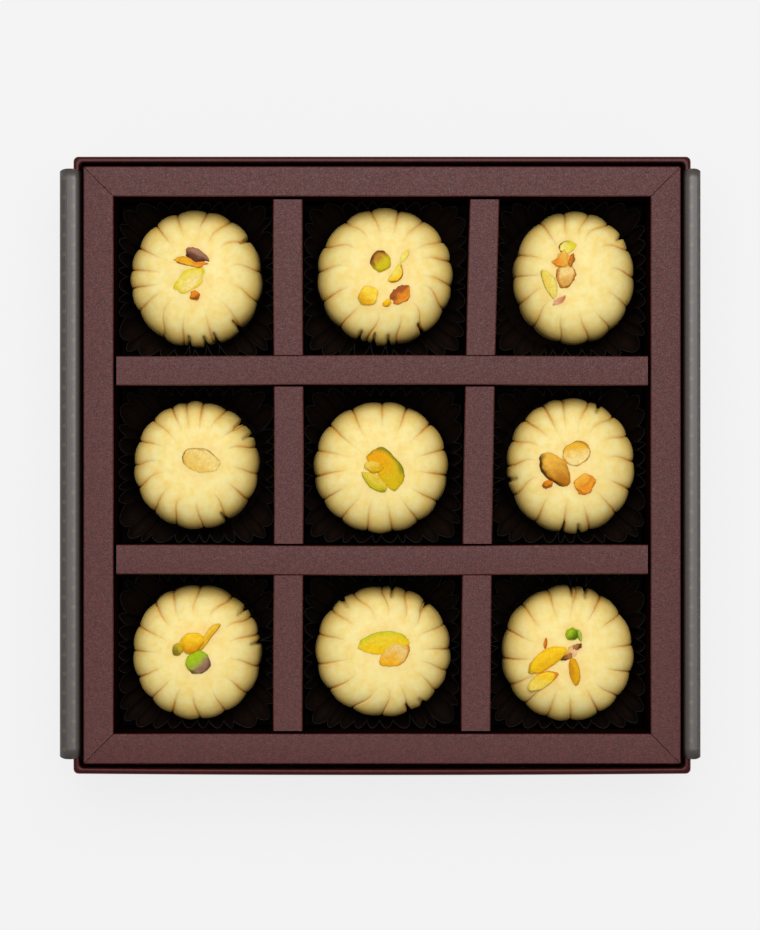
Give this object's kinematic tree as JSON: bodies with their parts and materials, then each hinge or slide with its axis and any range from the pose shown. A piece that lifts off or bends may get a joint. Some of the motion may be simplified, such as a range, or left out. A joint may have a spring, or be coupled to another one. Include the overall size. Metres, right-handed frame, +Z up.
{
  "type": "sweet box",
  "caption": "Open square sweet box: wrapped board base, lift-out card tray with folded egg-crate dividers, fluted sweets in pleated cups, and a paper liner with fold-over flaps.",
  "frame": {"origin": "on the table, under the middle of the base", "axes": "+X to the right of the open box, +Y to its back, +Z up"},
  "size_m": [0.1711, 0.165, 0.0375],
  "materials": {
    "grey_board": "matte",
    "wrap_paper": "satin",
    "stay_paper": "matte",
    "lining_paper": "matte",
    "liner_paper": "satin",
    "tray_card": "satin",
    "cup_paper": "satin",
    "sweet": "matte",
    "pistachio": "matte"
  },
  "bodies": {
    "base": {"base_back_board": "grey_board", "base_bottom_sheet": "wrap_paper", "base_floor_board": "grey_board", "base_front_board": "grey_board", "base_left_board": "grey_board", "base_right_board": "grey_board", "base_wrap": "wrap_paper", "corner_stays": "stay_paper", "floor_lining": "lining_paper", "liner_sheet": "liner_paper"},
    "left_fold": {"left_liner_fold": "liner_paper"},
    "left_flap": {"left_liner_flap": "liner_paper"},
    "right_fold": {"right_liner_fold": "liner_paper"},
    "right_flap": {"right_liner_flap": "liner_paper"},
    "tray": {"tray_back_rail": "tray_card", "tray_floor": "tray_card", "tray_front_rail": "tray_card", "tray_left_rail": "tray_card", "tray_right_rail": "tray_card"},
    "divider": {"cross_divider_left": "tray_card", "cross_divider_right": "tray_card", "long_divider_back": "tray_card", "long_divider_front": "tray_card"},
    "cup_1": {"paper_cup_1": "cup_paper"},
    "sweet_1": {"sweet_1": "sweet", "pistachio_1": "pistachio"},
    "cup_2": {"paper_cup_2": "cup_paper"},
    "sweet_2": {"sweet_2": "sweet", "pistachio_2": "pistachio"},
    "cup_3": {"paper_cup_3": "cup_paper"},
    "sweet_3": {"sweet_3": "sweet", "pistachio_3": "pistachio"},
    "cup_4": {"paper_cup_4": "cup_paper"},
    "sweet_4": {"sweet_4": "sweet", "pistachio_4": "pistachio"},
    "cup_5": {"paper_cup_5": "cup_paper"},
    "sweet_5": {"sweet_5": "sweet", "pistachio_5": "pistachio"},
    "cup_6": {"paper_cup_6": "cup_paper"},
    "sweet_6": {"sweet_6": "sweet", "pistachio_6": "pistachio"},
    "cup_7": {"paper_cup_7": "cup_paper"},
    "sweet_7": {"sweet_7": "sweet", "pistachio_7": "pistachio"},
    "cup_8": {"paper_cup_8": "cup_paper"},
    "sweet_8": {"sweet_8": "sweet", "pistachio_8": "pistachio"},
    "cup_9": {"paper_cup_9": "cup_paper"},
    "sweet_9": {"sweet_9": "sweet", "pistachio_9": "pistachio"}
  },
  "joints": [
    {"name": "left_crease", "type": "hinge", "parent": "base", "child": "left_fold", "pos_m": [-0.08079, 0, 0.03735], "axis": [0, -1, 0], "range_deg": [-178, 0]},
    {"name": "left_shoulder", "type": "hinge", "parent": "left_fold", "child": "left_flap", "pos_m": [-0.0859, 0, 0.03735], "axis": [0, -1, 0], "range_deg": [-89, 0]},
    {"name": "right_crease", "type": "hinge", "parent": "base", "child": "right_fold", "pos_m": [0.08079, 0, 0.03735], "axis": [0, 1, 0], "range_deg": [-178, 0]},
    {"name": "right_shoulder", "type": "hinge", "parent": "right_fold", "child": "right_flap", "pos_m": [0.085, 0, 0.03735], "axis": [0, 1, 0], "range_deg": [-89, 0]},
    {"name": "tray_lift", "type": "slide", "parent": "base", "child": "tray", "axis": [0, 0, 1], "range_m": [0, 0.04]},
    {"name": "divider_lift", "type": "slide", "parent": "tray", "child": "divider", "axis": [0, 0, 1], "range_m": [0, 0.036]},
    {"name": "cup_1_lift", "type": "slide", "parent": "tray", "child": "cup_1", "axis": [0, 0, 1], "range_m": [0, 0.036]},
    {"name": "sweet_1_lift", "type": "slide", "parent": "cup_1", "child": "sweet_1", "axis": [0, 0, 1], "range_m": [0, 0.02]},
    {"name": "cup_2_lift", "type": "slide", "parent": "tray", "child": "cup_2", "axis": [0, 0, 1], "range_m": [0, 0.036]},
    {"name": "sweet_2_lift", "type": "slide", "parent": "cup_2", "child": "sweet_2", "axis": [0, 0, 1], "range_m": [0, 0.02]},
    {"name": "cup_3_lift", "type": "slide", "parent": "tray", "child": "cup_3", "axis": [0, 0, 1], "range_m": [0, 0.036]},
    {"name": "sweet_3_lift", "type": "slide", "parent": "cup_3", "child": "sweet_3", "axis": [0, 0, 1], "range_m": [0, 0.02]},
    {"name": "cup_4_lift", "type": "slide", "parent": "tray", "child": "cup_4", "axis": [0, 0, 1], "range_m": [0, 0.036]},
    {"name": "sweet_4_lift", "type": "slide", "parent": "cup_4", "child": "sweet_4", "axis": [0, 0, 1], "range_m": [0, 0.02]},
    {"name": "cup_5_lift", "type": "slide", "parent": "tray", "child": "cup_5", "axis": [0, 0, 1], "range_m": [0, 0.036]},
    {"name": "sweet_5_lift", "type": "slide", "parent": "cup_5", "child": "sweet_5", "axis": [0, 0, 1], "range_m": [0, 0.02]},
    {"name": "cup_6_lift", "type": "slide", "parent": "tray", "child": "cup_6", "axis": [0, 0, 1], "range_m": [0, 0.036]},
    {"name": "sweet_6_lift", "type": "slide", "parent": "cup_6", "child": "sweet_6", "axis": [0, 0, 1], "range_m": [0, 0.02]},
    {"name": "cup_7_lift", "type": "slide", "parent": "tray", "child": "cup_7", "axis": [0, 0, 1], "range_m": [0, 0.036]},
    {"name": "sweet_7_lift", "type": "slide", "parent": "cup_7", "child": "sweet_7", "axis": [0, 0, 1], "range_m": [0, 0.02]},
    {"name": "cup_8_lift", "type": "slide", "parent": "tray", "child": "cup_8", "axis": [0, 0, 1], "range_m": [0, 0.036]},
    {"name": "sweet_8_lift", "type": "slide", "parent": "cup_8", "child": "sweet_8", "axis": [0, 0, 1], "range_m": [0, 0.02]},
    {"name": "cup_9_lift", "type": "slide", "parent": "tray", "child": "cup_9", "axis": [0, 0, 1], "range_m": [0, 0.036]},
    {"name": "sweet_9_lift", "type": "slide", "parent": "cup_9", "child": "sweet_9", "axis": [0, 0, 1], "range_m": [0, 0.02]}
  ]
}
